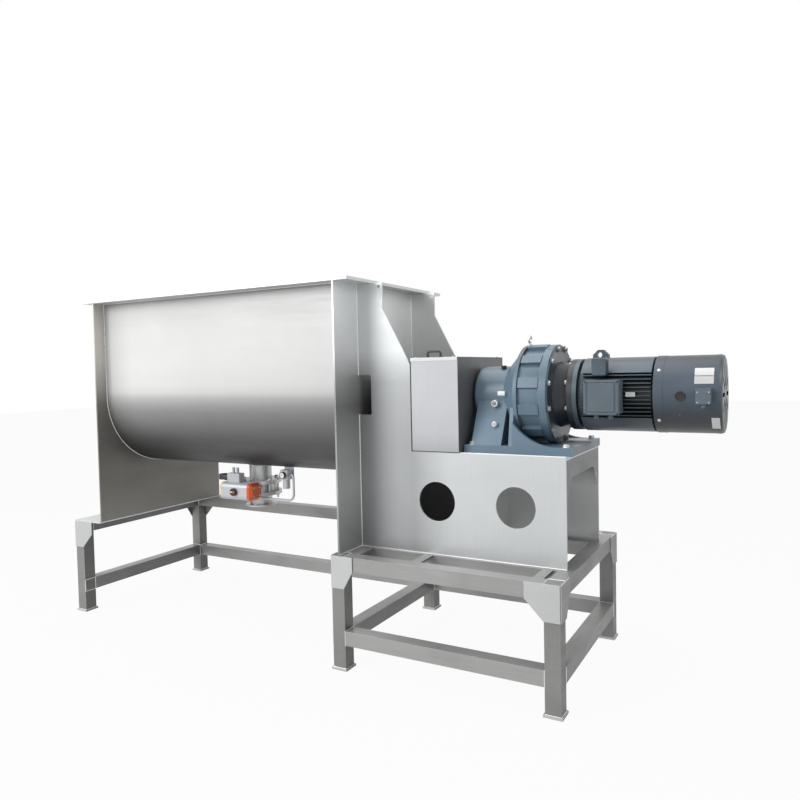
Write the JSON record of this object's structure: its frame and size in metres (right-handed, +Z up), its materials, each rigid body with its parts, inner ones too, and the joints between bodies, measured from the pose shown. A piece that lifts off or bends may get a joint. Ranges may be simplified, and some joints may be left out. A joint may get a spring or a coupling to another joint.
{
  "type": "ribbon blender",
  "caption": "Horizontal U-trough ribbon mixer with a double helical ribbon rotor, shaft-mounted gear reducer and motor, and a bottom outlet valve with pneumatic actuator.",
  "frame": {"origin": "centre of the overall box on the floor", "axes": "+X along the rotor shaft from the tail bearing towards the motor, +Y to the rear, +Z up"},
  "size_m": [4.133, 1.174, 2.157],
  "materials": {
    "satin_sheet": "satin stainless sheet",
    "frame_steel": "brushed stainless square tube",
    "blade_steel": "ground stainless bar",
    "machined_steel": "turned steel",
    "bearing_iron": "painted cast iron",
    "reducer_paint": "blue-grey enamel on cast iron",
    "adapter_paint": "dark blue-grey enamel",
    "motor_paint": "grey-blue enamel",
    "zinc_plate": "zinc-plated fasteners",
    "black_plastic": "black moulded plastic",
    "anodised": "clear anodised aluminium",
    "orange_cap": "orange powder coat"
  },
  "bodies": {
    "base": {"actuator_body": "anodised", "actuator_caps": "orange_cap", "air_service_units": "anodised", "compartment_partition": "satin_sheet", "corner_gussets": "frame_steel", "drive_bearing": "bearing_iron", "drive_bearing_bridge": "satin_sheet", "drive_end_apron": "satin_sheet", "drive_end_plate": "satin_sheet", "drive_seal_housing": "machined_steel", "drive_stand_rails": "frame_steel", "drive_top_plate": "satin_sheet", "fan_cowl": "motor_paint", "fan_terminal_box": "motor_paint", "foot_plates": "frame_steel", "front_cheek": "satin_sheet", "leg_front_drive": "frame_steel", "leg_front_middle": "frame_steel", "leg_front_tail": "frame_steel", "leg_rear_drive": "frame_steel", "leg_rear_middle": "frame_steel", "leg_rear_tail": "frame_steel", "lower_cross_rails": "frame_steel", "lower_side_rails": "frame_steel", "motor_adapter": "adapter_paint", "motor_body": "motor_paint", "outlet_neck": "satin_sheet", "outlet_spout": "blade_steel", "rear_cheek": "satin_sheet", "reducer_eyebolt": "zinc_plate", "reducer_fittings": "zinc_plate", "reducer_housing": "reducer_paint", "ring_bolts": "zinc_plate", "ring_housing": "reducer_paint", "solenoid_valve": "anodised", "tail_bearing": "bearing_iron", "tail_bearing_bracket": "satin_sheet", "tail_deck_plate": "frame_steel", "tail_end_plate": "satin_sheet", "tail_seal_housing": "machined_steel", "terminal_box": "motor_paint", "tie_bars": "frame_steel", "top_cross_beams": "frame_steel", "top_rim": "satin_sheet", "top_side_beams": "frame_steel", "trough_shell": "satin_sheet", "valve_body": "blade_steel"},
    "rotor": {"main_shaft": "machined_steel", "outer_ribbons": "blade_steel", "inner_ribbons": "blade_steel", "ribbon_arms": "blade_steel", "shaft_coupling_half": "machined_steel", "reducer_coupling_half": "machined_steel", "reducer_output_shaft": "machined_steel"},
    "motor_rotor": {"motor_shaft": "machined_steel", "cooling_fan": "black_plastic"},
    "valve": {"valve_disc": "blade_steel", "position_indicator": "black_plastic"},
    "guard": {"shaft_guard": "satin_sheet", "guard_handle": "black_plastic"}
  },
  "joints": [
    {"name": "rotor_spin", "type": "hinge", "parent": "base", "child": "rotor", "pos_m": [-0.821, 0, 1.497], "axis": [1, 0, 0], "continuous": true},
    {"name": "motor_spin", "type": "hinge", "parent": "base", "child": "motor_rotor", "pos_m": [1.5715, 0, 1.497], "axis": [1, 0, 0], "continuous": true},
    {"name": "valve_turn", "type": "hinge", "parent": "base", "child": "valve", "pos_m": [-0.8635, 0, 0.867], "axis": [0, 1, 0], "range_deg": [0, 90]},
    {"name": "guard_lift", "type": "slide", "parent": "base", "child": "guard", "axis": [0, 0, 1], "range_m": [0, 0.4]}
  ],
  "couplings": [
    {"joint": "motor_spin", "follows": "rotor_spin", "ratio": -35}
  ]
}
